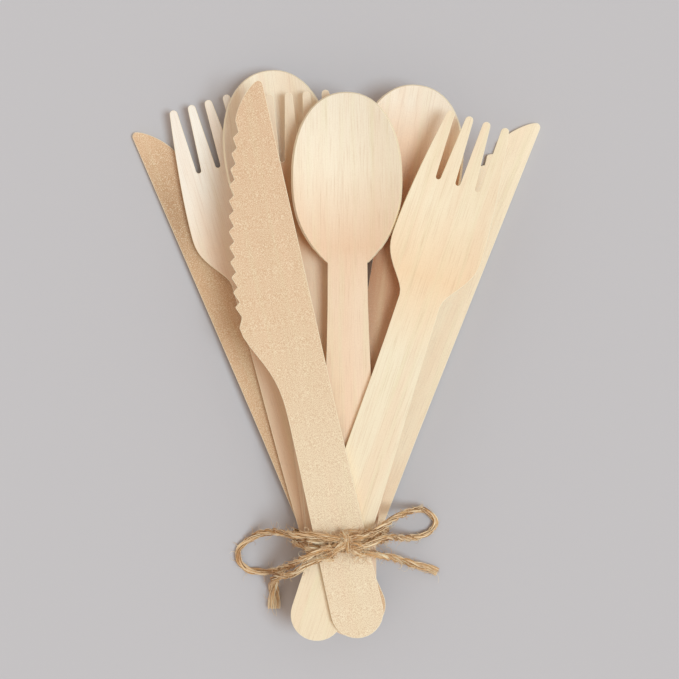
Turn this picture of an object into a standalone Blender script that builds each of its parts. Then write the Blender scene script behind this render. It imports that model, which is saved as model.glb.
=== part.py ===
"""A tied bundle of stamped wooden cutlery: three knives, three forks and three spoons, fanned out
and held at the handles by two turns of jute twine with a bow. Metres, +Z up, heads towards +Y.
Each utensil is cut from flat veneer, forks and spoons are then pressed hollow. The stack is laid
up from the lowest piece: each one rests on what lies beneath it and is held down at the tie."""

import math

import bmesh
import bpy
from mathutils import Matrix, Vector
from mathutils.bvhtree import BVHTree
from mathutils.geometry import convex_hull_2d

MM = 0.001

# Veneer and handles
VENEER = 1.6 * MM
GAP = 0.3 * MM
HANDLE_END_WIDTH = 15.3 * MM
HANDLE_WIDENING = 73.0 * MM

# Spoon
SPOON_HANDLE = 109.0 * MM
SPOON_BOWL_LENGTH = 49.0 * MM
SPOON_LENGTH = SPOON_HANDLE + SPOON_BOWL_LENGTH
SPOON_BOWL_WIDTH = 31.0 * MM
SPOON_WIDEST = SPOON_BOWL_LENGTH / 2
SPOON_NECK_WIDTH = 11.4 * MM
SPOON_DEPTH = 4.0 * MM
BOWL_NOSE_POWER = 2.2
BOWL_NECK_POWER = 2.55
SPOON_CUTS = 14
SPOON_STRIPS = 10

# Fork
FORK_HANDLE = 103.8 * MM
FORK_NECK = 55.0 * MM
FORK_LENGTH = FORK_HANDLE + FORK_NECK
FORK_SHOULDER = 38.0 * MM
FORK_TIP_WIDTH = 18.4 * MM
FORK_HEAD_WIDTH = 26.9 * MM
FORK_NECK_WIDTH = 12.2 * MM
FORK_SIDE_POWER = 1.5
FORK_NECK_POWER = 1.4
FORK_DEPTH = 2.4 * MM
FORK_DIP_POWER = 1.3
FORK_TROUGH = 0.45
FORK_CUTS = 16
TINE_TIP_WIDTH = 2.3 * MM
SLOT_DEPTH = 20.0 * MM
SLOT_WIDTH = 1.5 * MM
SLOT_PITCH = 5.95 * MM
SLOT_TIP_PITCH = 5.2 * MM

# Knife. Its teeth fill the blade's edge from a little past the heel up to the plain tip.
KNIFE_SPINE = 7.0 * MM
KNIFE_WAIST_WIDTH = 14.2 * MM
KNIFE_WAIST = 64.0 * MM
KNIFE_HEEL = 95.5 * MM
BLADE_LENGTH = 68.5 * MM
KNIFE_LENGTH = KNIFE_HEEL + BLADE_LENGTH
BLADE_WIDTH = 22.0 * MM
BLADE_TAPER = 0.72
BLADE_TAPER_POWER = 1.75
BLADE_NOSE = 10.0 * MM
BLADE_CORNER = 1.4 * MM
HEEL_POWER = 1.7
TOOTH_PITCH = 4.34 * MM
TOOTH_DEPTH = 1.35 * MM
TOOTH_FRONT = 1.05 * MM
TOOTH_CREST = 0.45 * MM
PAST_HEEL = 2.9 * MM
PLAIN_TIP = 13.0 * MM
TEETH = math.floor((BLADE_LENGTH - PAST_HEEL - PLAIN_TIP) / TOOTH_PITCH)

# Twine
TWINE = 2.0 * MM
TURNS = 2
TURN_PITCH = TWINE + GAP
GRIP_REACH = 14.0 * MM
KNOT_WIDTH = 7.0 * MM
KNOT_LENGTH = 7.6 * MM
KNOT_HEIGHT = 3.6 * MM
KNOT_WAIST = 0.16
KNOT_RIDGE = 0.16
KNOT_SKEW = 0.35
CORD_CLEARANCE = 0.15 * MM
CORD_SPACING = 2.0 * TWINE

# The tie, and how each piece lies there: its lean to the left of +Y, how far its handle runs
# past the tie, and how far its centre line passes to the right of the tie.
TIE_RIGHT = 1.6 * MM
TIE_DOWN = 58.3 * MM
TIE = Vector((TIE_RIGHT, -TIE_DOWN))
LAY = [
    ("knife_right", "knife", -21.8, 28.0 * MM, 2.2 * MM, False),
    ("knife_left", "knife", 23.45, 28.3 * MM, -4.1 * MM, True),
    ("fork_left", "fork", 16.6, 23.1 * MM, -4.8 * MM, False),
    ("spoon_left", "spoon", 7.9, 18.7 * MM, -3.9 * MM, False),
    ("fork_middle", "fork", 4.5, 27.2 * MM, -3.7 * MM, False),
    ("spoon_right", "spoon", -8.95, 23.8 * MM, 1.1 * MM, False),
    ("spoon_centre", "spoon", 0.5, 28.1 * MM, 1.4 * MM, False),
    ("fork_right", "fork", -18.05, 30.8 * MM, -1.0 * MM, False),
    ("knife_front", "knife", 12.7, 28.6 * MM, -1.15 * MM, False),
]

# The bow: points chosen by hand from the knot outwards, in millimetres: to the right of the tie,
# up from the tie, and a height, where 1 is level with the knot and 0 lies on the ground.
LOOP_LEFT = [
    (-3.9, 1.0, 1.00), (-6.6, 1.6, 1.00), (-9.8, 2.0, 0.98), (-12.6, 1.9, 0.93),
    (-14.8, 1.6, 0.82), (-18.3, 1.6, 0.55), (-21.9, 1.4, 0.30), (-25.5, 0.3, 0.13),
    (-29.0, -1.8, 0.03), (-31.3, -3.9, 0.00), (-32.1, -6.2, 0.00), (-31.3, -8.7, 0.00),
    (-29.0, -10.6, 0.00), (-25.6, -11.2, 0.03), (-22.0, -10.9, 0.11), (-19.3, -10.0, 0.25),
    (-15.8, -7.6, 0.60), (-12.3, -5.0, 0.92), (-9.2, -3.3, 1.00), (-6.6, -2.3, 1.00),
    (-3.9, -1.3, 1.00),
]
LOOP_RIGHT = [
    (3.9, 1.0, 1.00), (6.2, 2.1, 1.00), (8.9, 3.2, 0.99), (11.6, 4.7, 0.86),
    (13.7, 5.8, 0.68), (16.2, 6.7, 0.49), (19.4, 7.4, 0.27), (22.5, 7.6, 0.10),
    (25.4, 6.2, 0.02), (27.0, 4.1, 0.00), (26.5, 1.8, 0.00), (24.2, 0.0, 0.02),
    (20.7, -0.9, 0.12), (16.5, -0.3, 0.40), (13.5, 0.8, 0.74), (11.2, 1.1, 0.95),
    (8.9, 0.3, 1.00), (6.3, -0.8, 1.00), (3.9, -1.4, 1.00),
]
TAIL_LEFT = [
    (-3.2, -4.5, 0.90), (-6.0, -4.6, 0.90), (-8.5, -5.3, 0.90), (-11.2, -6.9, 0.89),
    (-13.1, -8.4, 0.83), (-15.1, -9.8, 0.72), (-17.2, -10.7, 0.60), (-19.1, -11.1, 0.48),
    (-20.5, -12.0, 0.35), (-21.1, -13.9, 0.18), (-21.3, -16.3, 0.05), (-21.3, -18.8, 0.00),
    (-21.3, -22.3, 0.00),
]
TAIL_RIGHT = [
    (3.9, -3.5, 0.90), (6.3, -3.5, 0.90), (8.4, -3.9, 0.88), (11.2, -4.7, 0.72),
    (13.5, -5.6, 0.55), (15.9, -6.7, 0.38), (18.3, -7.8, 0.22), (20.7, -8.9, 0.11),
    (23.1, -9.7, 0.03), (25.4, -10.3, 0.00), (27.7, -11.5, 0.00),
]
CORDS = {
    "bow_loop_left": LOOP_LEFT,
    "bow_loop_right": LOOP_RIGHT,
    "twine_tail_left": TAIL_LEFT,
    "twine_tail_right": TAIL_RIGHT,
}

# Colours: two of the knives are darker than the rest
DARKER_WOOD = {"knife_left": (0.62, 0.40, 0.22), "knife_front": (0.77, 0.56, 0.36)}
PALE_WOOD = (0.90, 0.74, 0.53)
JUTE = (0.52, 0.36, 0.20)
WOOD_ROUGHNESS = 0.65
JUTE_ROUGHNESS = 0.9

# Fineness: steps round a handle's end, round a tine or slot's end and along the curved sides, and
# how closely they crowd at the tip of a spoon or a blade
END_STEPS = 16
TINE_STEPS = 6
TIP_STEPS = 14
SIDE_STEPS = 9
NECK_STEPS = 11
HANDLE_STEPS = 6
SPOON_CROWDING = 2.0
NOSE_CROWDING = 1.6
CORNER_STEP = 22.5
ROUTE_STEPS = 12
KNOT_SEGMENTS = 20
KNOT_RINGS = 12
SAME_POINT = 0.01 * MM

# Laying up: the spacing of the survey under a piece, where its rays start, and how often it settles
SURVEY_STEP = 0.8 * MM
RAY_HEIGHT = 0.2
SETTLING_PASSES = 3


def smooth(t):
    """Eases from 0 to 1 as t runs from 0 to 1."""
    t = min(max(t, 0.0), 1.0)
    return t * t * (3 - 2 * t)


def handle_half_width(past_neck, neck_half):
    """Half the handle's width: it widens from the neck to the rounded end."""
    end_half = HANDLE_END_WIDTH / 2
    return neck_half + (end_half - neck_half) * smooth(past_neck / HANDLE_WIDENING)


def spoon_half_width(d):
    """Half the spoon's width at a distance d from its tip."""
    neck_half, bowl_half = SPOON_NECK_WIDTH / 2, SPOON_BOWL_WIDTH / 2
    if d < SPOON_WIDEST:
        rise = 1 - (1 - d / SPOON_WIDEST) ** BOWL_NOSE_POWER
        return bowl_half * max(rise, 0.0) ** (1 / BOWL_NOSE_POWER)
    if d < SPOON_BOWL_LENGTH:
        t = (d - SPOON_WIDEST) / (SPOON_BOWL_LENGTH - SPOON_WIDEST)
        return neck_half + (bowl_half - neck_half) * (1 - t**BOWL_NECK_POWER)
    return handle_half_width(d - SPOON_BOWL_LENGTH, neck_half)


def fork_half_width(d):
    """Half the fork's width at a distance d from its tines' tips."""
    tip_half, head_half, neck_half = FORK_TIP_WIDTH / 2, FORK_HEAD_WIDTH / 2, FORK_NECK_WIDTH / 2
    if d < FORK_SHOULDER:
        return tip_half + (head_half - tip_half) * (1 - (1 - d / FORK_SHOULDER) ** FORK_SIDE_POWER)
    if d < FORK_NECK:
        t = (d - FORK_SHOULDER) / (FORK_NECK - FORK_SHOULDER)
        return head_half + (neck_half - head_half) * smooth(t**FORK_NECK_POWER)
    return handle_half_width(d - FORK_NECK, neck_half)


def knife_edge(u):
    """How far the knife's cutting side lies from its centre line, u from the handle's end."""
    waist_half = KNIFE_WAIST_WIDTH / 2
    heel_half = BLADE_WIDTH - KNIFE_SPINE
    if u < KNIFE_WAIST:
        end_half = HANDLE_END_WIDTH / 2
        return end_half + (waist_half - end_half) * smooth(u / KNIFE_WAIST)
    if u < KNIFE_HEEL:
        t = (u - KNIFE_WAIST) / (KNIFE_HEEL - KNIFE_WAIST)
        return waist_half + (heel_half - waist_half) * smooth(t**HEEL_POWER)
    t = (u - KNIFE_HEEL) / (KNIFE_LENGTH - KNIFE_HEEL)
    width = BLADE_WIDTH * (1 - BLADE_TAPER * t**BLADE_TAPER_POWER)
    nose = (u - (KNIFE_LENGTH - BLADE_NOSE)) / BLADE_NOSE
    if nose > 0:
        width *= math.sqrt(max(1 - nose * nose, 0.0))
    return width - KNIFE_SPINE


def arc(centre, radius, start, end, steps):
    """Points on an arc from the start angle to the end angle, in degrees, both included."""
    points = []
    for i in range(steps + 1):
        a = math.radians(start + (end - start) * i / steps)
        points.append((centre[0] + radius * math.cos(a), centre[1] + radius * math.sin(a)))
    return points


def spaced(start, end, count, power=1.0):
    """Values from start towards end, closer together near the start where the power is above 1."""
    return [start + (end - start) * (i / count) ** power for i in range(count + 1)]


def spoon_outline():
    """The spoon's outline, anticlockwise from the right of the handle, with x across and y along."""
    length, end = SPOON_LENGTH, HANDLE_END_WIDTH / 2
    side = spaced(0.0, SPOON_WIDEST, TIP_STEPS, SPOON_CROWDING)[1:]
    side += spaced(SPOON_WIDEST, SPOON_BOWL_LENGTH, NECK_STEPS)[1:]
    side += spaced(SPOON_BOWL_LENGTH, SPOON_BOWL_LENGTH + HANDLE_WIDENING, HANDLE_STEPS)[1:]
    right = [(spoon_half_width(d), length - d) for d in reversed(side)]
    left = [(-x, y) for x, y in reversed(right)]
    return arc((0, end), end, 180, 360, END_STEPS) + right + [(0.0, length)] + left


def fork_outline():
    """The fork's outline with its three slots between four tines."""
    length, end = FORK_LENGTH, HANDLE_END_WIDTH / 2
    tip_radius = TINE_TIP_WIDTH / 2
    side = spaced(tip_radius, FORK_SHOULDER, SIDE_STEPS)
    side += spaced(FORK_SHOULDER, FORK_NECK, NECK_STEPS)[1:]
    side += spaced(FORK_NECK, FORK_NECK + HANDLE_WIDENING, HANDLE_STEPS)[1:]
    right = [(fork_half_width(d), length - d) for d in reversed(side)]
    left = [(-x, y) for x, y in reversed(right)]
    tip_y, bottom_y = length - tip_radius, length - SLOT_DEPTH
    outer = fork_half_width(tip_radius) - tip_radius
    tines = [outer, SLOT_TIP_PITCH / 2, -SLOT_TIP_PITCH / 2, -outer]
    slots = [SLOT_PITCH, 0.0, -SLOT_PITCH]
    top = []
    for i, tine in enumerate(tines):
        top += arc((tine, tip_y), tip_radius, 0, 180, TINE_STEPS)
        if i < len(slots):
            top += arc((slots[i], bottom_y + SLOT_WIDTH / 2), SLOT_WIDTH / 2, 0, -180, TINE_STEPS)
    return arc((0, end), end, 180, 360, END_STEPS) + right[:-1] + top + left[1:]


def knife_outline():
    """The knife's outline: a straight spine on the right and the serrated edge on the left."""
    end = HANDLE_END_WIDTH / 2
    corner_share = BLADE_CORNER / (BLADE_WIDTH * (1 - BLADE_TAPER))
    top = KNIFE_LENGTH - BLADE_NOSE * (1 - math.sqrt(1 - corner_share**2))
    spine = [(KNIFE_SPINE, KNIFE_WAIST)]
    spine += arc((KNIFE_SPINE - BLADE_CORNER, top - BLADE_CORNER), BLADE_CORNER, 0, 90, TINE_STEPS)
    nose = spaced(top, KNIFE_LENGTH - BLADE_NOSE, SIDE_STEPS, NOSE_CROWDING)[1:]
    edge = [(-knife_edge(u), u) for u in nose]
    for i in reversed(range(TEETH + 1)):
        notch = KNIFE_HEEL + PAST_HEEL + i * TOOTH_PITCH
        edge.append((-knife_edge(notch) + TOOTH_DEPTH, notch))
        if i:
            crest = (notch - TOOTH_FRONT, notch - TOOTH_FRONT - TOOTH_CREST)
            edge += [(-knife_edge(u), u) for u in crest]
    edge += [(-knife_edge(u), u) for u in spaced(KNIFE_HEEL, KNIFE_WAIST, NECK_STEPS)]
    edge += [(-knife_edge(u), u) for u in spaced(KNIFE_WAIST, end, HANDLE_STEPS)[1:]]
    return arc((0, end), end, 180, 360, END_STEPS)[1:] + spine + edge


def spoon_press(x, y):
    """How far the press pushes the spoon's bowl down."""
    d = SPOON_LENGTH - y
    if d <= 0 or d >= SPOON_BOWL_LENGTH:
        return 0.0
    across = min(abs(x) / max(spoon_half_width(d), MM), 1.0)
    reach = SPOON_WIDEST if d < SPOON_WIDEST else SPOON_BOWL_LENGTH - SPOON_WIDEST
    along = (d - SPOON_WIDEST) / reach
    return -SPOON_DEPTH * (1 - across**2) * (1 - along**2)


def fork_press(x, y):
    """How far the press pushes the fork's head down: it dips past the neck and its tips come up again."""
    d = FORK_LENGTH - y
    if d >= FORK_NECK:
        return 0.0
    along = math.sin(math.pi * d / FORK_NECK) ** FORK_DIP_POWER if d > 0 else 0.0
    across = x / (FORK_HEAD_WIDTH / 2)
    return -FORK_DEPTH * along * (1 - FORK_TROUGH * across**2)


def no_press(x, y):
    """A knife stays as flat as its veneer."""
    return 0.0


def slice_sheet(bm, across, along):
    """Cuts a flat sheet along straight lines, so that the press has something to bend."""
    for cuts, normal in ((across, Vector((0, 1, 0))), (along, Vector((1, 0, 0)))):
        for c in cuts:
            bmesh.ops.bisect_plane(
                bm,
                geom=bm.verts[:] + bm.edges[:] + bm.faces[:],
                dist=SAME_POINT,
                plane_co=normal * c,
                plane_no=normal,
            )


def stamped(outline, press, across, along):
    """A utensil cut from veneer by its outline, pressed, and given its thickness."""
    bm = bmesh.new()
    bm.faces.new([bm.verts.new((x, y, 0.0)) for x, y in outline])
    slice_sheet(bm, across, along)
    bmesh.ops.remove_doubles(bm, verts=bm.verts[:], dist=2 * SAME_POINT)
    bmesh.ops.triangulate(bm, faces=bm.faces[:])
    for v in bm.verts:
        v.co.z = press(v.co.x, v.co.y)
    bm.normal_update()
    bmesh.ops.solidify(bm, geom=bm.faces[:], thickness=VENEER)
    bmesh.ops.recalc_face_normals(bm, faces=bm.faces[:])
    low = min(v.co.z for v in bm.verts)
    mesh = bpy.data.meshes.new("blank")
    bm.to_mesh(mesh)
    bm.free()
    mesh.transform(Matrix.Translation((0, 0, -low)))
    return mesh


def make_blank(kind):
    """The mesh of one utensil, its handle's end at the origin and its head towards +Y."""
    if kind == "spoon":
        across = spaced(SPOON_LENGTH - SPOON_BOWL_LENGTH, SPOON_LENGTH, SPOON_CUTS)[:-1]
        along = spaced(-SPOON_BOWL_WIDTH / 2, SPOON_BOWL_WIDTH / 2, SPOON_STRIPS)[1:-1]
        return stamped(spoon_outline(), spoon_press, across, along)
    if kind == "fork":
        across = spaced(FORK_LENGTH - FORK_NECK, FORK_LENGTH, FORK_CUTS)[:-1]
        return stamped(fork_outline(), fork_press, across, [-SLOT_PITCH, 0.0, SLOT_PITCH])
    return stamped(knife_outline(), no_press, [KNIFE_WAIST, KNIFE_HEEL], [])


def bvh_of(mesh, matrix):
    """A search tree of the mesh's faces in world space."""
    points = [matrix @ v.co for v in mesh.vertices]
    return BVHTree.FromPolygons(points, [p.vertices[:] for p in mesh.polygons])


def upper_hull(points):
    """The upper convex chain of (s, height) points, from the lowest s to the highest."""
    chain = []
    for p in sorted(points):
        while len(chain) > 1:
            (s0, h0), (s1, h1) = chain[-2], chain[-1]
            if (h1 - h0) * (p[0] - s0) > (p[1] - h0) * (s1 - s0):
                break
            chain.pop()
        chain.append(p)
    return chain


def support_under(x, y, beneath, twine_half):
    """The lowest height that a piece's underside may have at x, y."""
    height = 0.0
    if abs(y - TIE.y) < twine_half:
        height = TWINE + GAP
    for tree in beneath:
        hit = tree.ray_cast(Vector((x, y, RAY_HEIGHT)), Vector((0, 0, -1)))
        if hit[0] is not None:
            height = max(height, hit[0].z + GAP)
    return height


def lay_down(mesh, lean, past_tie, offset, beneath):
    """The place of one utensil: it is held down at the tie, and touches on both sides of it."""
    a = math.radians(lean)
    along, side = Vector((-math.sin(a), math.cos(a))), Vector((math.cos(a), math.sin(a)))
    base = TIE + side * offset - along * past_tie
    rows = math.ceil(max(v.co.y for v in mesh.vertices) / SURVEY_STEP)
    columns = math.ceil(max(abs(v.co.x) for v in mesh.vertices) / SURVEY_STEP)
    twine_half = TURN_PITCH * (TURNS + 1) / 2
    lift, slope = 0.0, 0.0
    turn = Matrix.Rotation(a, 4, "Z")
    matrix = Matrix.Identity(4)
    for _ in range(SETTLING_PASSES):
        matrix = Matrix.Translation((base.x, base.y, lift)) @ turn @ Matrix.Rotation(slope, 4, "X")
        own = bvh_of(mesh, matrix)
        needs = []
        for i in range(rows + 1):
            for j in range(-columns, columns + 1):
                s, t = i * SURVEY_STEP, j * SURVEY_STEP
                spot = base + along * s + side * t
                hit = own.ray_cast(Vector((spot.x, spot.y, -RAY_HEIGHT)), Vector((0, 0, 1)))
                if hit[0] is not None:
                    rise = support_under(spot.x, spot.y, beneath, twine_half) - hit[0].z
                    needs.append((s, rise))
        hull = upper_hull(needs)
        for (s0, h0), (s1, h1) in zip(hull, hull[1:]):
            if s0 <= past_tie + GRIP_REACH <= s1:
                change = (h1 - h0) / (s1 - s0)
                lift += h0 - change * s0
                slope += math.atan(change)
                break
    matrix = Matrix.Translation((base.x, base.y, lift)) @ turn @ Matrix.Rotation(slope, 4, "X")
    sunk = min(0.0, min((matrix @ v.co).z for v in mesh.vertices))
    return Matrix.Translation((0, 0, -sunk)) @ matrix


def material(name, colour, roughness):
    """A plain finish of one colour."""
    mat = bpy.data.materials.new(name)
    mat.use_nodes = True
    shader = mat.node_tree.nodes["Principled BSDF"]
    shader.inputs["Base Color"].default_value = (*colour, 1.0)
    shader.inputs["Roughness"].default_value = roughness
    return mat


def add_object(name, data, colour, roughness, parent):
    """An object of the given mesh or curve, with its own finish, held by the parent."""
    obj = bpy.data.objects.new(name, data)
    bpy.context.scene.collection.objects.link(obj)
    data.materials.append(material(name + "_finish", colour, roughness))
    obj.parent = parent
    return obj


def lay_up(parent):
    """Lays the nine utensils on each other, from the lowest to the topmost."""
    blanks = {kind: make_blank(kind) for kind in ("knife", "fork", "spoon")}
    beneath, laid = [], []
    for name, kind, lean, past_tie, offset, turned in LAY:
        mesh = blanks[kind].copy()
        mesh.name = name
        if turned:
            mesh.transform(Matrix.Scale(-1, 4, Vector((1, 0, 0))))
            mesh.flip_normals()
        matrix = lay_down(mesh, lean, past_tie, offset, beneath)
        beneath.append(bvh_of(mesh, matrix))
        colour = DARKER_WOOD.get(name, PALE_WOOD)
        obj = add_object(name, mesh, colour, WOOD_ROUGHNESS, parent)
        obj.matrix_basis = matrix
        laid.append(obj)
    return laid


def section_at_tie(laid):
    """Where the laid utensils cross the two turns of twine: a list of (x, z)."""
    half = TURN_PITCH * TURNS / 2
    crossings = []
    for obj in laid:
        bm = bmesh.new()
        bm.from_mesh(obj.data)
        bm.transform(obj.matrix_basis)
        for y in (TIE.y - half, TIE.y, TIE.y + half):
            cut = bmesh.ops.bisect_plane(
                bm,
                geom=bm.verts[:] + bm.edges[:] + bm.faces[:],
                dist=SAME_POINT,
                plane_co=(0, y, 0),
                plane_no=(0, 1, 0),
            )
            corners = [e for e in cut["geom_cut"] if isinstance(e, bmesh.types.BMVert)]
            crossings += [(corner.co.x, corner.co.z) for corner in corners]
        bm.free()
    return crossings


def stretched_round(points, distance):
    """The path of a string pulled round the points, at a distance from them: anticlockwise (x, z)."""
    corners = [Vector(points[i]) for i in convex_hull_2d([Vector(p) for p in points])]
    corners = [c for i, c in enumerate(corners) if (c - corners[i - 1]).length > GAP]
    if sum(a.cross(b) for a, b in zip(corners, corners[1:] + corners[:1])) < 0:
        corners.reverse()
    path = []
    for i, corner in enumerate(corners):
        before = corner - corners[i - 1]
        after = corners[(i + 1) % len(corners)] - corner
        start = math.degrees(math.atan2(-before.x, before.y))
        turn = math.degrees(before.angle_signed(after)) * -1
        steps = max(1, math.ceil(abs(turn) / CORNER_STEP))
        path += arc(corner, distance, start, start + turn, steps)
    return path


def tube(name, points, radius, parent):
    """A plain round cord through the points, with flat ends."""
    curve = bpy.data.curves.new(name, "CURVE")
    curve.dimensions = "3D"
    curve.bevel_depth = radius
    curve.bevel_resolution = 2
    curve.use_fill_caps = True
    curve.render_resolution_u = 0
    spline = curve.splines.new("POLY")
    spline.points.add(len(points) - 1)
    for point, co in zip(spline.points, points):
        point.co = (*co, 1.0)
    return add_object(name, curve, JUTE, JUTE_ROUGHNESS, parent)


def smooth_route(points, spacing):
    """Points at even steps along a smooth curve through the given ones."""
    fine = []
    ends = [points[0] * 2 - points[1]] + points + [points[-1] * 2 - points[-2]]
    for p0, p1, p2, p3 in zip(ends, ends[1:], ends[2:], ends[3:]):
        for i in range(ROUTE_STEPS):
            t = i / ROUTE_STEPS
            fine.append(0.5 * (2 * p1 + (p2 - p0) * t + (2 * p0 - 5 * p1 + 4 * p2 - p3) * t * t
                               + (3 * p1 - p0 - 3 * p2 + p3) * t**3))
    fine.append(points[-1])
    length = sum((b - a).length for a, b in zip(fine, fine[1:]))
    count = round(length / spacing)
    route, travelled, target = [fine[0]], 0.0, length / count
    for a, b in zip(fine, fine[1:]):
        step = (b - a).length
        while travelled + step >= target * len(route) and len(route) < count:
            route.append(a.lerp(b, (target * len(route) - travelled) / step))
        travelled += step
    return route + [fine[-1]]


def wrap_twine(laid, parent):
    """Two turns round the handles, from under the knot to the right and back to it from the left.
    Returns the height of the twine's middle where it crosses the top of the stack."""
    loop = stretched_round(section_at_tie(laid), TWINE / 2 + GAP)
    top = max(z for _, z in loop)
    loop.reverse()
    first = next(i for i, (x, z) in enumerate(loop) if x > TIE.x and z > top - TWINE)
    ring = [Vector((TIE.x, top))] + [Vector(p) for p in loop[first:] + loop[:first]]
    ring = [p for p, q in zip(ring, ring[1:] + ring[:1]) if (p - q).length > GAP]
    around = [(b - a).length for a, b in zip(ring, ring[1:] + ring[:1])]
    points, travelled = [], 0.0
    for _ in range(TURNS):
        for p, step in zip(ring, around):
            points.append(twine_turn_point(p, travelled / sum(around)))
            travelled += step
    points.append(twine_turn_point(ring[0], TURNS))
    tube("twine_wrap", points, TWINE / 2, parent)
    return top


def twine_turn_point(section_point, turns_made):
    """A point of the wrap, which moves one pitch towards the handles' ends with each turn."""
    y = TIE.y + TURN_PITCH * (TURNS / 2 - turns_made)
    return Vector((section_point.x, y, section_point.y))


def knot(height, parent):
    """The knot's rounded lump with the one turn that closes it laid over the middle."""
    size = Vector((KNOT_WIDTH, KNOT_LENGTH, KNOT_HEIGHT))
    centre = Vector((TIE.x, TIE.y, height + TWINE / 2 + GAP + KNOT_HEIGHT / 2))
    bm = bmesh.new()
    bmesh.ops.create_uvsphere(bm, u_segments=KNOT_SEGMENTS, v_segments=KNOT_RINGS, radius=0.5)
    for v in bm.verts:
        ridge = math.exp(-((v.co.x + v.co.y * KNOT_SKEW) / KNOT_RIDGE) ** 2)
        v.co *= 1 - KNOT_WAIST * (1 - ridge)
        v.co = Vector(a * b for a, b in zip(v.co, size))
    mesh = bpy.data.meshes.new("twine_knot")
    bmesh.ops.triangulate(bm, faces=bm.faces[:])
    bm.to_mesh(mesh)
    bm.free()
    mesh.shade_smooth()
    obj = add_object("twine_knot", mesh, JUTE, JUTE_ROUGHNESS, parent)
    obj.location = centre


def bow(top, parent):
    """The bow's loops and tails, which leave the knot and come down to the ground beside the handles."""
    deck, ground = top + TURN_PITCH, TWINE / 2 + CORD_CLEARANCE
    for name, route in CORDS.items():
        points = [
            Vector((TIE.x + right * MM, TIE.y + up * MM, ground + (deck - ground) * level))
            for right, up, level in route
        ]
        tube(name, smooth_route(points, CORD_SPACING), TWINE / 2, parent)


def stand_at_origin(parent, held):
    """Moves the bundle so that the middle of its box's underside is the origin."""
    bpy.context.view_layer.update()
    graph = bpy.context.evaluated_depsgraph_get()
    spots = []
    for obj in held:
        shape = obj.evaluated_get(graph)
        mesh = shape.to_mesh()
        spots += [shape.matrix_world @ v.co for v in mesh.vertices]
        shape.to_mesh_clear()
    low = Vector(min(p[i] for p in spots) for i in range(3))
    high = Vector(max(p[i] for p in spots) for i in range(3))
    parent.location = (-(low.x + high.x) / 2, -(low.y + high.y) / 2, -low.z)


def main():
    """Clears the scene and builds the bundle."""
    for obj in list(bpy.data.objects):
        bpy.data.objects.remove(obj)
    parent = bpy.data.objects.new("bundle", None)
    bpy.context.scene.collection.objects.link(parent)
    laid = lay_up(parent)
    top = wrap_twine(laid, parent)
    knot(top, parent)
    bow(top, parent)
    held = [obj for obj in parent.children if obj.name not in CORDS]
    stand_at_origin(parent, held)


main()
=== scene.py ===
import math
import random

import bmesh
import bpy
from mathutils import Matrix, Vector
from mathutils.geometry import convex_hull_2d


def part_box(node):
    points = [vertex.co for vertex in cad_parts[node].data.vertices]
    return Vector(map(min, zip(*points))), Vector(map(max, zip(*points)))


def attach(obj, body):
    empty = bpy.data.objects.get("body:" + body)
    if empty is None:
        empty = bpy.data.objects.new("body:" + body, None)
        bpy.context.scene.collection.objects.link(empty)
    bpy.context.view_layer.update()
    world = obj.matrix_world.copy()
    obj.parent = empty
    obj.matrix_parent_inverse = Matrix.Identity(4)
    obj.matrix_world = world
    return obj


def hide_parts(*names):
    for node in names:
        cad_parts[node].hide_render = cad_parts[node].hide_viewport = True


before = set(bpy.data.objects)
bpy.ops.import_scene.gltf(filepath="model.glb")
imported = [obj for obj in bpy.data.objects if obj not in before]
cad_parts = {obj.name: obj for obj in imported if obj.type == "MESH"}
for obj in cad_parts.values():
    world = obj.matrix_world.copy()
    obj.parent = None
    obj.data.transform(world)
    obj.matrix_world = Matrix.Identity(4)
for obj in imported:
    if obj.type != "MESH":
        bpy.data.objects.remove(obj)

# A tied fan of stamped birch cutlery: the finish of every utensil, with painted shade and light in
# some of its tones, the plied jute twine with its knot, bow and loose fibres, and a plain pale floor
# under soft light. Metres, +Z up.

MM = 0.001
FULL_CIRCLE = 2 * math.pi
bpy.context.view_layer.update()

# Places taken from the frame: the knot sits over the tie
KNOT_LOW, KNOT_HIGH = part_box("twine_knot")
TIE = (KNOT_LOW + KNOT_HIGH) / 2
WRAP_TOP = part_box("twine_wrap")[1].z

# The photograph's view: straight down, from this height over a point this far from the tie, with a
# lens whose focal length is given in the picture's pixels
CAMERA_HEIGHT = 600.0 * MM
CAMERA_FROM_TIE = Vector((-1.6, 58.3)) * MM
SENSOR = 36.0
FRAME_PIXELS = 679
FOCAL_PIXELS = 1998

# A key light as wide as a soft box, and an even fill from all round
KEY_FROM = Vector((0.40, -0.12, 1.0))
KEY_WIDTH = math.radians(22)
KEY_STRENGTH = 1.57
KEY_COLOUR = (0.80, 1.0, 1.13)
FILL_STRENGTH = 0.62
FILL_COLOUR = (1.0, 0.87, 0.77, 1.0)

# The floor: half its width, and how far it lies under the bundle, so that no faces meet
FLOOR_GREY = "c6c2c3"
FLOOR_HALF = 3.0
FLOOR_DROP = 0.1 * MM
BOARD_ROUGHNESS = 0.9
BOARD_SPECULAR = 0.2

# Typical of wood, plant fibre and paint alike
IOR = 1.5
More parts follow.
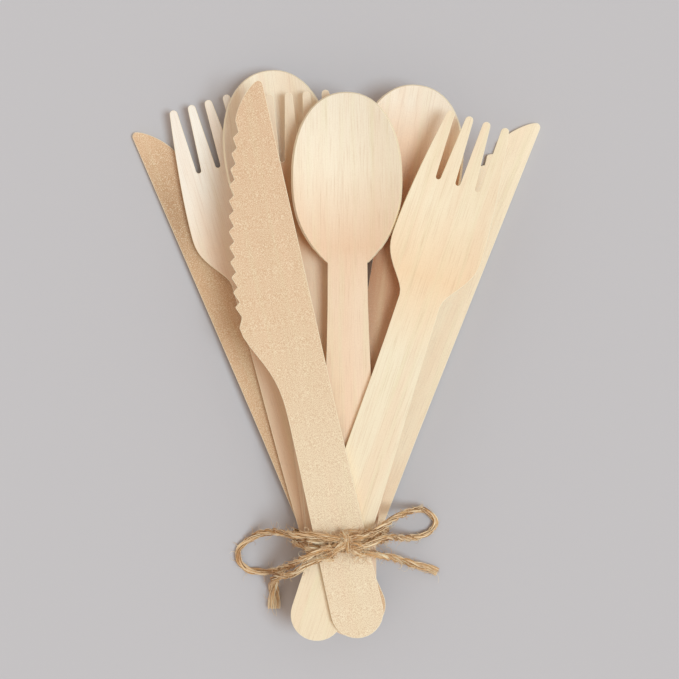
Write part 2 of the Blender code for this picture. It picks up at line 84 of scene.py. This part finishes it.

# Each utensil's lean to the left of +Y in degrees, how strong its grain and its fleck are, and its
# tones at places along it in millimetres: mostly the wood's own, with painted shade and painted
# light where noted
UTENSILS = {
    # The handle's warmer stops from -60 to -32 mm paint the warm shade under fork_right and the bow
    "knife_right": (-21.8, 0.26, 0.16, [
        (-60, "ffe2bc"), (-32, "ffe4c0"), (-20, "ffeccb"), (70, "feeccd"),
    ]),
    # The darker stops at 54 and 62 mm are painted shadow, where fork_left shades the knife
    "knife_left": (23.45, 0.22, 0.58, [
        (0, "dcb48a"), (36, "d8ae83"), (54, "b1875e"), (62, "b68b62"), (84, "e6bd94"),
    ]),
    # The head's near-white stops at 58 and 74 mm are painted light, offsetting the shade of knife_front
    # and spoon_left
    "fork_left": (16.6, 0.22, 0.12, [
        (10, "f2d2b1"), (40, "fce4c9"), (58, "fff5e4"), (74, "fff6e8"),
    ]),
    # The near-white stop at 60 mm is painted light, offsetting knife_front's shade on the left rim
    "spoon_left": (7.9, 0.26, 0.12, [
        (40, "f8ddbe"), (60, "fff4e2"), (80, "fcedd3"),
    ]),
    # The dark stops from 34 to 53 mm are painted shade, in the crevice between knife_front and
    # spoon_centre
    "fork_middle": (4.5, 0.26, 0.12, [
        (27, "f3d5b4"), (34, "e0b084"), (44, "c99468"), (53, "cf9c70"), (62, "e9caa7"), (75, "f2ddc0"),
    ]),
    # The dark stops from 17 to 50 mm are painted shade, where spoon_centre and fork_right shade the
    # spoon
    "spoon_right": (-8.95, 0.26, 0.12, [
        (0, "d3a582"), (17, "c2916c"), (27, "b67b52"), (50, "d29b71"), (64, "f8d8b8"), (76, "fdeed8"),
    ]),
    "spoon_centre": (0.5, 0.32, 0.12, [
        (-30, "f8dabc"), (16, "f4d7b8"), (31, "f2ceac"), (54, "f9e8cd"), (75, "f6e7cf"),
    ]),
    "fork_right": (-18.05, 0.30, 0.12, [
        (-80, "f4e0bf"), (5, "f8e8c9"), (29, "f9d8af"), (50, "fae7c6"), (70, "f8e4c3"),
    ]),
    "knife_front": (12.7, 0.18, 0.60, [
        (-85, "efd8b6"), (-40, "efd8b6"), (15, "e5c29c"), (75, "e0b892"),
    ]),
}

# The forks share one slot in the record and so do the spoons, and each knife has its own
SHARED_SLOTS = {"fork": "fork_wood", "spoon": "spoon_wood"}

# The ramp that carries a utensil's tones, painted shade and light among them, runs between these places
# along it, in millimetres
TONES_FROM = -90.0
TONES_TO = 90.0

# The veneer's patterns: millimetres across the grain, millimetres along it, and the noise's detail.
# Real lines and flecks are finer than these, and are drawn as coarse as they need to be to show.
BROAD_STREAKS = (5.0, 60.0, 1.0)
NARROW_STREAKS = (2.4, 45.0, 1.0)
GRAIN_LINES = (0.27, 10.0, 2.0)
FLECKS = (0.20, 0.27, 2.0)
NOISE_ROUGHNESS = 0.55
PATTERN_SHIFTS = (7.3, 3.1, 1.7)
PEACH_STREAK = "f0c6a2"
GREEN_STREAK = "e8dcb0"
DARK_GRAIN = "c79c74"
# The pale colour also paints the rims: partly their own paler cut wood, partly a painted highlight
PALE_GRAIN_AND_HIGHLIGHT = "fff0cf"
RIM_PALENESS_AND_HIGHLIGHT = 0.85
SANDED_ROUGHNESS = 0.62
GRAIN_DEPTH = 0.05 * MM
GRAIN_RELIEF = 0.3

# How far sanding has eased the veneer's rims, and how level a face is that counts as flat
RIM_WIDTH = 0.36 * MM
RIM_STEPS = 3
FLAT_NORMAL = 0.6
SHARP_ANGLE = math.radians(40)
MERGE_WITHIN = 0.005 * MM

# Jute's tones from dark to bleached, and the patches where it is stained: their size, the noise
# values at which they start and are full, and how strong they get
JUTE_TONES = [(0.0, "784820"), (0.4, "e4b67d"), (1.0, "fff1d0")]
JUTE_STAIN = "ba7b43"
STAIN_SIZE = 3.5 * MM
STAIN_DETAIL = 3.0
STAIN_STARTS = 0.45
STAIN_FULL = 0.7
STAIN_STRENGTH = 0.4
JUTE_ROUGHNESS = 0.8

# Twine: three plies, each a bundle of fibres that swell in slubs and ripple
TWINE = 2.0 * MM
PLIES = 3
FIBRES = 13
PLY_OFFSET = 0.48 * MM
FIBRE_OFFSET = 0.44 * MM
FIBRE_RADIUS = 0.12 * MM
PLY_LAY = 13.0 * MM
FIBRE_LAY = 34.0 * MM
SLUB_LENGTH = 6.5 * MM
SLUB_SWELL = 0.10
RIPPLE_LENGTH = 2.6 * MM
RIPPLE_SWELL = 0.16
STRAND_STEP = 0.75 * MM
CURVE_STEPS = 12

# What differs from fibre to fibre, as shares of the plain value. The width also changes along each
# fibre, and the tones are drawn from a beta distribution with these two parameters.
RIPPLE_RATES = (0.7, 1.3)
FIBRE_REACHES = (0.4, 1.2)
FIBRE_WIDTHS = (0.65, 1.25)
WIDTHS_ALONG = (0.85, 1.15)
FIBRE_TONES = (1.1, 0.9)

# Towards a frayed end: how much the plies untwist and part, the fibres splay and swell, and painted
# light pales them.
# One fibre in four stops a step short of it.
FRAY_LENGTH = 13.0 * MM
FRAY_UNTWIST = 0.8
FRAY_PARTING = 0.6
FRAY_SPLAYS = (0.1, 1.3)
FRAY_SWELL = 0.25
FRAY_PAINTED_LIGHT = 0.65
FRAY_SHORT = (0, 0, 0, 1)

# Stray fibres: how many stand out at each step of a strand, and how long the longest is
BOW_HAIRS = (2.0, 4.0 * MM)
WRAP_HAIRS = (1.6, 4.5 * MM)
KNOT_HAIRS = (6.0, 6.0 * MM)

# Each stray fibre: its length as a share of the longest, its radius in millimetres, its taper and
# tone, how far from the strand's middle it starts, how much it points along the strand and out of
# it, and how its curl is tilted and how tight it is
HAIR_STEPS = 10
HAIR_LENGTHS = (0.25, 1.0)
HAIR_RADII = (0.045, 0.09)
HAIR_TAPER = 0.6
HAIR_TONES = (0.2, 1.0)
HAIR_ROOT = 0.42 * TWINE
HAIR_ALONG = (0.8, 2.0)
HAIR_OUT = (0.0, 0.7)
HAIR_TILT = 0.5
HAIR_CURL = 0.33

# The wrap: its turns, and how finely it goes round a corner of the handles
GAP = 0.3 * MM
TURNS = 2
TURN_PITCH = TWINE + GAP
ARC_STEP = math.radians(22.5)
CUT_TOLERANCE = 0.01 * MM

# Heights of the twine's middle: over the wrap, where the bow is tied, and on the floor
CORD_CLEARANCE = 0.15 * MM
DECK = WRAP_TOP - TWINE / 2 + TURN_PITCH
GROUND = TWINE / 2 + CORD_CLEARANCE

# The bow: points in millimetres to the right of the tie, up from it, and a height, where 1 is level
# with the deck and 0 lies on the floor
LOOP_LEFT = [
    (-3.9, 1.0, 1.00), (-6.6, 1.6, 1.00), (-9.8, 2.0, 0.98), (-12.6, 1.9, 0.93),
    (-14.8, 1.6, 0.82), (-18.3, 1.6, 0.55), (-21.9, 1.4, 0.30), (-25.5, 0.3, 0.13),
    (-29.0, -1.8, 0.03), (-31.3, -3.9, 0.00), (-32.1, -6.2, 0.00), (-31.3, -8.7, 0.00),
    (-29.0, -10.6, 0.00), (-25.6, -11.2, 0.03), (-22.0, -10.9, 0.11), (-19.3, -10.0, 0.25),
    (-15.8, -7.6, 0.60), (-12.3, -5.0, 0.92), (-9.2, -3.3, 1.00), (-6.6, -2.3, 1.00),
    (-3.9, -1.3, 1.00),
]
LOOP_RIGHT = [
    (3.9, 1.0, 1.00), (6.2, 2.1, 1.00), (8.9, 3.2, 0.99), (11.6, 4.7, 0.86),
    (13.7, 5.8, 0.68), (16.2, 6.7, 0.49), (19.4, 7.4, 0.27), (22.5, 7.6, 0.10),
    (25.4, 6.2, 0.02), (27.0, 4.1, 0.00), (26.5, 1.8, 0.00), (24.2, 0.0, 0.02),
    (20.7, -0.9, 0.12), (16.5, -0.3, 0.40), (13.5, 0.8, 0.74), (11.2, 1.1, 0.95),
    (8.9, 0.3, 1.00), (6.3, -0.8, 1.00), (3.9, -1.4, 1.00),
]
TAIL_LEFT = [
    (-3.2, -4.5, 0.90), (-6.0, -4.6, 0.90), (-8.5, -5.3, 0.90), (-11.2, -6.9, 0.89),
    (-13.1, -8.4, 0.83), (-15.1, -9.8, 0.72), (-17.2, -10.7, 0.60), (-19.1, -11.1, 0.48),
    (-20.5, -12.0, 0.35), (-21.1, -13.9, 0.18), (-21.3, -16.3, 0.05), (-21.3, -18.8, 0.00),
    (-21.3, -22.3, 0.00),
]
TAIL_RIGHT = [
    (3.9, -3.5, 0.90), (6.3, -3.5, 0.90), (8.4, -3.9, 0.88), (11.2, -4.7, 0.72),
    (13.5, -5.6, 0.55), (15.9, -6.7, 0.38), (18.3, -7.8, 0.22), (20.7, -8.9, 0.11),
    (23.1, -9.7, 0.03), (25.4, -10.3, 0.00), (27.7, -11.5, 0.00),
]

# Each free stretch: its node, its piece, its points, its far end, how full its plies are, and how far
# its end is frayed
BOW = [
    ("bow_loop_left", "loop_left", LOOP_LEFT, "object", 1.0, 0.0),
    ("bow_loop_right", "loop_right", LOOP_RIGHT, "object", 0.95, 0.0),
    ("twine_tail_left", "tail_left", TAIL_LEFT, "bare", 1.2, 1.0),
    ("twine_tail_right", "tail_right", TAIL_RIGHT, "bare", 1.05, 0.5),
]

# The knot's three crossing strands and the turn that closes them, as the bow's points but with
# heights in millimetres over the deck
KNOT_STRANDS = [
    [(-5.0, 1.2, 0.0), (-2.2, 0.8, 0.1), (0.3, -0.6, -0.2), (2.6, -2.6, -0.9), (4.6, -3.4, -1.4)],
    [(5.0, 1.5, 0.0), (2.4, 1.2, 0.7), (-0.2, -0.4, 1.3), (-2.6, -2.2, 0.7), (-4.6, -3.9, -1.0)],
    [(-5.0, -1.9, 0.0), (-2.4, -1.4, 0.2), (0.0, -0.9, 0.2), (2.4, -0.7, 0.4), (5.0, -1.2, 0.0)],
    [(-0.9, 2.4, -1.4), (-0.3, 2.1, 0.3), (0.5, 1.0, 1.5), (0.6, -0.6, 1.5), (0.9, -2.0, 0.3),
     (1.5, -2.7, -1.4)],
]


def linear(hex_colour):
    """An sRGB hex colour as linear red, green, blue and alpha."""
    parts = [int(hex_colour[i:i + 2], 16) / 255 for i in (0, 2, 4)]
    return [p / 12.92 if p <= 0.04045 else ((p + 0.055) / 1.055) ** 2.4 for p in parts] + [1.0]


def add(tree, kind, inputs, **settings):
    """Adds a node with its settings. Its inputs are values, or outputs of other nodes to link."""
    made = tree.nodes.new(kind)
    for name, value in settings.items():
        setattr(made, name, value)
    for name, value in inputs.items():
        if isinstance(value, bpy.types.NodeSocket):
            tree.links.new(value, made.inputs[name])
        else:
            made.inputs[name].default_value = value
    return made


def new_material(name, roughness):
    """A material with its Principled shader's plain values set."""
    mat = bpy.data.materials.new(name)
    mat.use_nodes = True
    shader = mat.node_tree.nodes["Principled BSDF"]
    shader.inputs["Roughness"].default_value = roughness
    shader.inputs["IOR"].default_value = IOR
    return mat, mat.node_tree, shader


def set_stops(ramp, stops):
    """Gives a colour ramp its stops: positions from 0 to 1 in rising order, and hex colours."""
    elements = ramp.color_ramp.elements
    for element, (position, hex_colour) in ((elements[1], stops[-1]), (elements[0], stops[0])):
        element.position = position
        element.color = linear(hex_colour)
    for position, hex_colour in stops[1:-1]:
        elements.new(position).color = linear(hex_colour)


def veneer(name, seed, lean, grain, fleck, tones):
    """Rotary-cut birch veneer, sanded and left bare, so it is matt. The grain runs along the utensil:
    soft streaks a few millimetres wide, fine lines a quarter of a millimetre apart, and a fleck as
    small. Its tone changes slowly along the utensil, with painted shade and painted light at some
    places, and its cut rims are paler, partly as cut birch is and partly as a painted highlight."""
    mat, tree, shader = new_material(name, SANDED_ROUGHNESS)
    at = add(tree, "ShaderNodeTexCoord", {})
    turned = add(tree, "ShaderNodeMapping", {
        "Vector": at.outputs["Object"], "Rotation": (0.0, 0.0, -math.radians(lean)),
    })

    def pattern(across, along, detail):
        scaled = add(tree, "ShaderNodeMapping", {
            "Vector": turned.outputs["Vector"],
            "Scale": (1 / (across * MM), 1 / (along * MM), 1 / (along * MM)),
            "Location": tuple(seed * shift for shift in PATTERN_SHIFTS),
        })
        return add(tree, "ShaderNodeTexNoise", {
            "Vector": scaled.outputs["Vector"],
            "Scale": 1.0,
            "Detail": detail,
            "Roughness": NOISE_ROUGHNESS,
        }).outputs["Fac"]

    place = add(tree, "ShaderNodeSeparateXYZ", {"Vector": turned.outputs["Vector"]})
    along = add(tree, "ShaderNodeMapRange", {
        "Value": place.outputs["Y"], "From Min": TONES_FROM * MM, "From Max": TONES_TO * MM,
    })
    # The tones along the utensil, some of them painted shade and painted light
    ramp = add(tree, "ShaderNodeValToRGB", {"Fac": along.outputs["Result"]})
    set_stops(ramp, [((spot - TONES_FROM) / (TONES_TO - TONES_FROM), tone) for spot, tone in tones])
    colour = ramp.outputs["Color"]
    lines, flecks = pattern(*GRAIN_LINES), pattern(*FLECKS)
    rim = add(tree, "ShaderNodeAttribute", {}, attribute_name="rim").outputs["Fac"]
    # From the bottom up: a pattern, its colour, where it starts to show and shows fully, its strength
    for pattern_value, hex_colour, low, high, strength in (
        (pattern(*BROAD_STREAKS), PEACH_STREAK, 0.48, 0.72, grain),
        (pattern(*NARROW_STREAKS), GREEN_STREAK, 0.52, 0.75, grain),
        (lines, DARK_GRAIN, 0.50, 0.76, grain),
        (flecks, DARK_GRAIN, 0.48, 0.68, fleck),
        (flecks, PALE_GRAIN_AND_HIGHLIGHT, 0.50, 0.34, fleck),
        # The rims are paler as cut birch is, and painted paler still as a highlight line that lifts them
        # out of shade
        (rim, PALE_GRAIN_AND_HIGHLIGHT, 0.0, 1.0, RIM_PALENESS_AND_HIGHLIGHT),
    ):
        share = add(tree, "ShaderNodeMapRange", {
            "Value": pattern_value, "From Min": low, "From Max": high, "To Max": strength,
        })
        colour = add(tree, "ShaderNodeMix", {
            "Factor": share.outputs["Result"], "A": colour, "B": linear(hex_colour),
        }, data_type="RGBA").outputs["Result"]
    tree.links.new(colour, shader.inputs["Base Color"])
    height = add(tree, "ShaderNodeMath", {0: lines, 1: flecks}, operation="ADD")
    bump = add(tree, "ShaderNodeBump", {
        "Height": height.outputs[0], "Strength": GRAIN_RELIEF, "Distance": GRAIN_DEPTH,
    })
    tree.links.new(bump.outputs["Normal"], shader.inputs["Normal"])
    return mat


def jute():
    """Retted jute: dry, matt golden fibres, each bundle of its own tone, with darker stained patches."""
    mat, tree, shader = new_material("jute_fibre", JUTE_ROUGHNESS)
    tone = add(tree, "ShaderNodeAttribute", {}, attribute_name="tone")
    ramp = add(tree, "ShaderNodeValToRGB", {"Fac": tone.outputs["Fac"]})
    set_stops(ramp, JUTE_TONES)
    at = add(tree, "ShaderNodeTexCoord", {})
    scaled = add(tree, "ShaderNodeMapping", {
        "Vector": at.outputs["Object"], "Scale": (1 / STAIN_SIZE,) * 3,
    })
    cloud = add(tree, "ShaderNodeTexNoise", {
        "Vector": scaled.outputs["Vector"], "Scale": 1.0, "Detail": STAIN_DETAIL,
    })
    share = add(tree, "ShaderNodeMapRange", {
        "Value": cloud.outputs["Fac"],
        "From Min": STAIN_STARTS,
        "From Max": STAIN_FULL,
        "To Max": STAIN_STRENGTH,
    })
    stained = add(tree, "ShaderNodeMix", {
        "Factor": share.outputs["Result"], "A": ramp.outputs["Color"], "B": linear(JUTE_STAIN),
    }, data_type="RGBA")
    tree.links.new(stained.outputs["Result"], shader.inputs["Base Color"])
    return mat


def add_object(name, data):
    obj = bpy.data.objects.new(name, data)
    bpy.context.scene.collection.objects.link(obj)
    return obj


def keep(obj, slot, *nodes):
    """Lets a piece ride on the bundle, and hides the nodes it stands for. Its slot is not used."""
    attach(obj, "root")
    if nodes:
        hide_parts(*nodes)


def dressed_utensil(name, mat, slot):
    """A utensil from its solid, with the rims eased as sanding leaves them and smooth shading."""
    bm = bmesh.new()
    bm.from_mesh(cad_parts[name].data)
    bmesh.ops.remove_doubles(bm, verts=bm.verts[:], dist=MERGE_WITHIN)
    bm.normal_update()
    flat = bm.faces.layers.int.new("flat")
    for face in bm.faces:
        face[flat] = int(abs(face.normal.z) > FLAT_NORMAL)
    rims = [e for e in bm.edges if len({face[flat] for face in e.link_faces}) == 2]
    eased = bmesh.ops.bevel(bm, geom=rims, offset=RIM_WIDTH, offset_type="OFFSET", affect="EDGES",
                            segments=RIM_STEPS, profile=0.5, material=-1, clamp_overlap=True)["faces"]
    # The rim mask: where the veneer is paler as cut birch is, and painted paler as a highlight
    rim = bm.loops.layers.float.new("rim")
    for face in bm.faces:
        for corner in face.loops:
            corner[rim] = 1.0 - face[flat]
    for face in eased:
        for corner in face.loops:
            corner[rim] = 1.0
    mesh = bpy.data.meshes.new(name + "_veneer")
    bm.to_mesh(mesh)
    bm.free()
    mesh.shade_smooth()
    mesh.set_sharp_from_angle(angle=SHARP_ANGLE)
    mesh.materials.append(mat)
    obj = add_object(name + "_veneer", mesh)
    obj.modifiers.new("even_faces", "WEIGHTED_NORMAL").keep_sharp = True
    keep(obj, slot, name)


def length_of(route):
    return sum((b - a).length for a, b in zip(route, route[1:]))


def at_tie(right, up, height):
    """A point this many millimetres to the right of the tie and up from it, at a height in metres."""
    return Vector((TIE.x + right * MM, TIE.y + up * MM, height))


def smooth_route(points):
    """Points at even steps along a smooth curve through the given ones."""
    fine = []
    ends = [points[0] * 2 - points[1]] + points + [points[-1] * 2 - points[-2]]
    for p0, p1, p2, p3 in zip(ends, ends[1:], ends[2:], ends[3:]):
        for i in range(CURVE_STEPS):
            t = i / CURVE_STEPS
            fine.append(0.5 * (2 * p1 + (p2 - p0) * t + (2 * p0 - 5 * p1 + 4 * p2 - p3) * t * t
                               + (3 * p1 - p0 - 3 * p2 + p3) * t**3))
    fine.append(points[-1])
    length = length_of(fine)
    count = round(length / STRAND_STEP)
    route, travelled, target = [fine[0]], 0.0, length / count
    for a, b in zip(fine, fine[1:]):
        step = (b - a).length
        while travelled + step >= target * len(route) and len(route) < count:
            route.append(a.lerp(b, (target * len(route) - travelled) / step))
        travelled += step
    return route + [fine[-1]]


def directions_along(route):
    """At each point of a route, two directions across it, which turn as little as they can."""
    across = []
    tangent = (route[1] - route[0]).normalized()
    side = tangent.orthogonal().normalized()
    for i in range(len(route)):
        ahead = route[min(i + 1, len(route) - 1)] - route[max(i - 1, 0)]
        turned = tangent.rotation_difference(ahead.normalized())
        tangent = ahead.normalized()
        side = turned @ side
        side = (side - tangent * side.dot(tangent)).normalized()
        across.append((side, tangent.cross(side)))
    return across


def outwards(n, b, angle):
    """The direction at an angle between two directions across a strand."""
    return n * math.cos(angle) + b * math.sin(angle)


def strand_fibres(route, rand, bulk=1.0, fray_end=0.0):
    """The fibre bundles of one strand of twine: a list of (points, radii, tones). Towards a frayed
    end the plies stop turning and spread, and their fibres are painted paler, as painted light."""
    across = directions_along(route)
    step = (route[1] - route[0]).length
    total = step * (len(route) - 1)
    slub_phase = rand.uniform(0, FULL_CIRCLE)
    bundles = []
    for ply in range(PLIES):
        for fibre in range(FIBRES):
            ripple_phase, ripple_rate = FULL_CIRCLE * rand.random(), rand.uniform(*RIPPLE_RATES)
            reach, width = rand.uniform(*FIBRE_REACHES), rand.uniform(*FIBRE_WIDTHS)
            splay, short = rand.uniform(*FRAY_SPLAYS), rand.choice(FRAY_SHORT)
            tone = rand.betavariate(*FIBRE_TONES)
            ply_turn = FULL_CIRCLE * ply / PLIES
            points, radii, tones = [], [], []
            for i, (p, (n, b)) in enumerate(zip(route, across)):
                s = i * step
                fray = max(fray_end * (1 - (total - s) / FRAY_LENGTH), 0.0)
                ply_turn += FULL_CIRCLE * step / PLY_LAY * (1 - FRAY_UNTWIST * fray)
                own_turn = FULL_CIRCLE * (fibre / FIBRES - s / FIBRE_LAY)
                slub = bulk * (1 + SLUB_SWELL * math.sin(s / SLUB_LENGTH + slub_phase))
                ripple = 1 + RIPPLE_SWELL * math.sin(s / RIPPLE_LENGTH * ripple_rate + ripple_phase)
                ply_offset = PLY_OFFSET * slub * (1 + FRAY_PARTING * fray)
                own_offset = FIBRE_OFFSET * slub * reach * ripple * (1 + splay * fray)
                points.append(p + outwards(n, b, ply_turn) * ply_offset
                              + outwards(n, b, own_turn) * own_offset)
                width_here = width * rand.uniform(*WIDTHS_ALONG) * (1 + FRAY_SWELL * fray)
                radii.append(FIBRE_RADIUS * width_here)
                # Painted light: the fibres are painted paler towards a frayed end, lifting it out of the
                # bundle's shade
                tones.append(tone + (1 - tone) * FRAY_PAINTED_LIGHT * fray)
            kept = len(points) - (short if fray_end else 0)
            bundles.append((points[:kept], radii[:kept], tones[:kept]))
    return bundles


def fibre_mesh(name, bundles, roundness=1):
    """One mesh of round fibres, with a tone at each point. None of them sinks into the floor."""
    curve = bpy.data.curves.new(name, "CURVE")
    curve.dimensions = "3D"
    # With a depth of 1, each point's radius is the fibre's own
    curve.bevel_depth = 1.0
    curve.bevel_resolution = roundness
    for points, radii, _ in bundles:
        spline = curve.splines.new("POLY")
        spline.points.add(len(points) - 1)
        for point, co, radius in zip(spline.points, points, radii):
            point.co = (co.x, co.y, max(co.z, radius), 1.0)
            point.radius = radius
    shape = add_object(name + "_curve", curve)
    graph = bpy.context.evaluated_depsgraph_get()
    mesh = bpy.data.meshes.new_from_object(shape.evaluated_get(graph))
    bpy.data.objects.remove(shape)
    point_tones = [tone for _, _, tones in bundles for tone in tones]
    sides = len(mesh.vertices) // len(point_tones)
    corner_tones = [tone for tone in point_tones for _ in range(sides)]
    mesh.attributes.new("tone", "FLOAT", "POINT").data.foreach_set("value", corner_tones)
    mesh.shade_smooth()
    mesh.materials.append(JUTE)
    return add_object(name, mesh)


def bow_cord(node, name, points, far_end, bulk, fray):
    """One free stretch of the twine; it returns its centre line."""
    path = smooth_route([at_tie(right, up, GROUND + (DECK - GROUND) * level)
                         for right, up, level in points])
    piece = fibre_mesh(name, strand_fibres(path, random.Random(name), bulk, fray))
    keep(piece, "jute_twine", node)
    return path


def section_at_tie():
    """Where the utensils cross the turns of twine: a list of (x, z)."""
    half = TURN_PITCH * TURNS / 2
    crossings = []
    for name in UTENSILS:
        bm = bmesh.new()
        bm.from_mesh(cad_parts[name].data)
        for y in (TIE.y - half, TIE.y, TIE.y + half):
            cut = bmesh.ops.bisect_plane(bm, geom=bm.verts[:] + bm.edges[:] + bm.faces[:],
                                         dist=CUT_TOLERANCE, plane_co=(0, y, 0), plane_no=(0, 1, 0))
            corners = [e for e in cut["geom_cut"] if isinstance(e, bmesh.types.BMVert)]
            crossings += [(corner.co.x, corner.co.z) for corner in corners]
        bm.free()
    return crossings


def stretched_round(points, distance):
    """The path of a string pulled round the points, at a distance from them: anticlockwise (x, z)."""
    corners = [Vector(points[i]) for i in convex_hull_2d([Vector(p) for p in points])]
    corners = [c for i, c in enumerate(corners) if (c - corners[i - 1]).length > GAP]
    if sum(a.cross(b) for a, b in zip(corners, corners[1:] + corners[:1])) < 0:
        corners.reverse()
    path = []
    for i, corner in enumerate(corners):
        before = corner - corners[i - 1]
        after = corners[(i + 1) % len(corners)] - corner
        start = math.atan2(-before.x, before.y)
        turn = -before.angle_signed(after)
        steps = max(1, math.ceil(abs(turn) / ARC_STEP))
        for k in range(steps + 1):
            a = start + turn * k / steps
            path.append(corner + Vector((math.cos(a), math.sin(a))) * distance)
    return path


def wrap():
    """The turns of twine round the handles, from under the knot and back to it."""
    loop = stretched_round(section_at_tie(), TWINE / 2 + GAP)
    top = max(p.y for p in loop)
    loop.reverse()
    first = next(i for i, p in enumerate(loop) if p.x > TIE.x and p.y > top - TWINE)
    ring = [Vector((TIE.x, top))] + loop[first:] + loop[:first]
    ring = [p for p, q in zip(ring, ring[1:] + ring[:1]) if (p - q).length > GAP]
    around = [(b - a).length for a, b in zip(ring, ring[1:] + ring[:1])]
    points, travelled = [], 0.0
    for _ in range(TURNS):
        for p, step in zip(ring, around):
            y = TIE.y + TURN_PITCH * (TURNS / 2 - travelled / sum(around))
            points.append(Vector((p.x, y, p.y)))
            travelled += step
    points.append(Vector((TIE.x, TIE.y - TURN_PITCH * TURNS / 2, top)))
    route = []
    for a, b in zip(points, points[1:]):
        count = max(1, round((b - a).length / STRAND_STEP))
        route += [a.lerp(b, i / count) for i in range(count)]
    route.append(points[-1])
    piece = fibre_mesh("wrap_strands", strand_fibres(route, random.Random("wrap")))
    keep(piece, "jute_twine", "twine_wrap")
    return route


def knot():
    """The crossing strands of the bow and the turn over them."""
    rand = random.Random("knot")
    bundles, routes = [], []
    for strand in KNOT_STRANDS:
        route = smooth_route([at_tie(right, up, DECK + over * MM) for right, up, over in strand])
        routes.append(route)
        bundles += strand_fibres(route, rand)
    keep(fibre_mesh("knot_strands", bundles), "jute_twine", "twine_knot")
    return routes


def stray_fibres(strands):
    """Loose fibres that stand out of the twine and curl, most of them at the knot."""
    rand = random.Random("stray")
    hairs = []
    for route, (per_point, longest) in strands:
        for p, (n, b) in zip(route, directions_along(route)):
            for _ in range(int(per_point + rand.random())):
                out = outwards(n, b, rand.uniform(0, FULL_CIRCLE))
                along = b.cross(n) * rand.choice((-1, 1))
                ahead = along * rand.uniform(*HAIR_ALONG) + out * rand.uniform(*HAIR_OUT)
                ahead.normalize()
                axis = Vector((rand.gauss(0, HAIR_TILT), rand.gauss(0, HAIR_TILT), rand.gauss(0, 1)))
                bend = Matrix.Rotation(rand.gauss(0, HAIR_CURL), 3, axis.normalized())
                step = rand.uniform(*HAIR_LENGTHS) * longest / HAIR_STEPS
                radius = rand.uniform(*HAIR_RADII) * MM
                spot = p + out * HAIR_ROOT
                points, radii = [], []
                for k in range(HAIR_STEPS + 1):
                    points.append(spot.copy())
                    radii.append(radius * (1 - HAIR_TAPER * k / HAIR_STEPS))
                    spot = spot + ahead * step
                    ahead = bend @ ahead
                hairs.append((points, radii, [rand.uniform(*HAIR_TONES)] * len(points)))
    keep(fibre_mesh("stray_fibres", hairs, roundness=0), "jute_twine")


def camera():
    data = bpy.data.cameras.new("camera")
    data.sensor_width = SENSOR
    data.lens = SENSOR * FOCAL_PIXELS / FRAME_PIXELS
    obj = add_object("camera", data)
    obj.location = (TIE.x + CAMERA_FROM_TIE.x, TIE.y + CAMERA_FROM_TIE.y, CAMERA_HEIGHT)
    bpy.context.scene.camera = obj


def floor():
    """Painted board: a plain matt pale grey that takes soft shadows."""
    bm = bmesh.new()
    bmesh.ops.create_grid(bm, x_segments=1, y_segments=1, size=FLOOR_HALF)
    bmesh.ops.translate(bm, vec=(0, 0, -FLOOR_DROP), verts=bm.verts[:])
    mesh = bpy.data.meshes.new("floor")
    bm.to_mesh(mesh)
    bm.free()
    mat, _, shader = new_material("painted_board", BOARD_ROUGHNESS)
    shader.inputs["Base Color"].default_value = linear(FLOOR_GREY)
    shader.inputs["Specular IOR Level"].default_value = BOARD_SPECULAR
    mesh.materials.append(mat)
    add_object("floor", mesh)


def lights():
    """A soft key light from the right and a little from the handles' side, and a warmer even fill.
    Together they are neutral on the open floor."""
    sun = bpy.data.lights.new("key", "SUN")
    sun.angle = KEY_WIDTH
    sun.energy = KEY_STRENGTH
    sun.color = KEY_COLOUR
    add_object("key", sun).rotation_euler = KEY_FROM.to_track_quat("Z", "Y").to_euler()
    world = bpy.data.worlds.new("room")
    world.use_nodes = True
    fill = world.node_tree.nodes["Background"]
    fill.inputs["Color"].default_value = FILL_COLOUR
    fill.inputs["Strength"].default_value = FILL_STRENGTH
    bpy.context.scene.world = world


camera()
JUTE = jute()
strands = [(bow_cord(*stretch), BOW_HAIRS) for stretch in BOW]
strands.append((wrap(), WRAP_HAIRS))
strands += [(route, KNOT_HAIRS) for route in knot()]
stray_fibres(strands)

for seed, (name, finish_and_painted_light) in enumerate(UTENSILS.items(), start=1):
    slot = SHARED_SLOTS.get(name.split("_")[0], name + "_wood")
    dressed_utensil(name, veneer(name + "_birch", seed, *finish_and_painted_light), slot)

floor()
lights()
bpy.context.scene.view_settings.view_transform = "Standard"
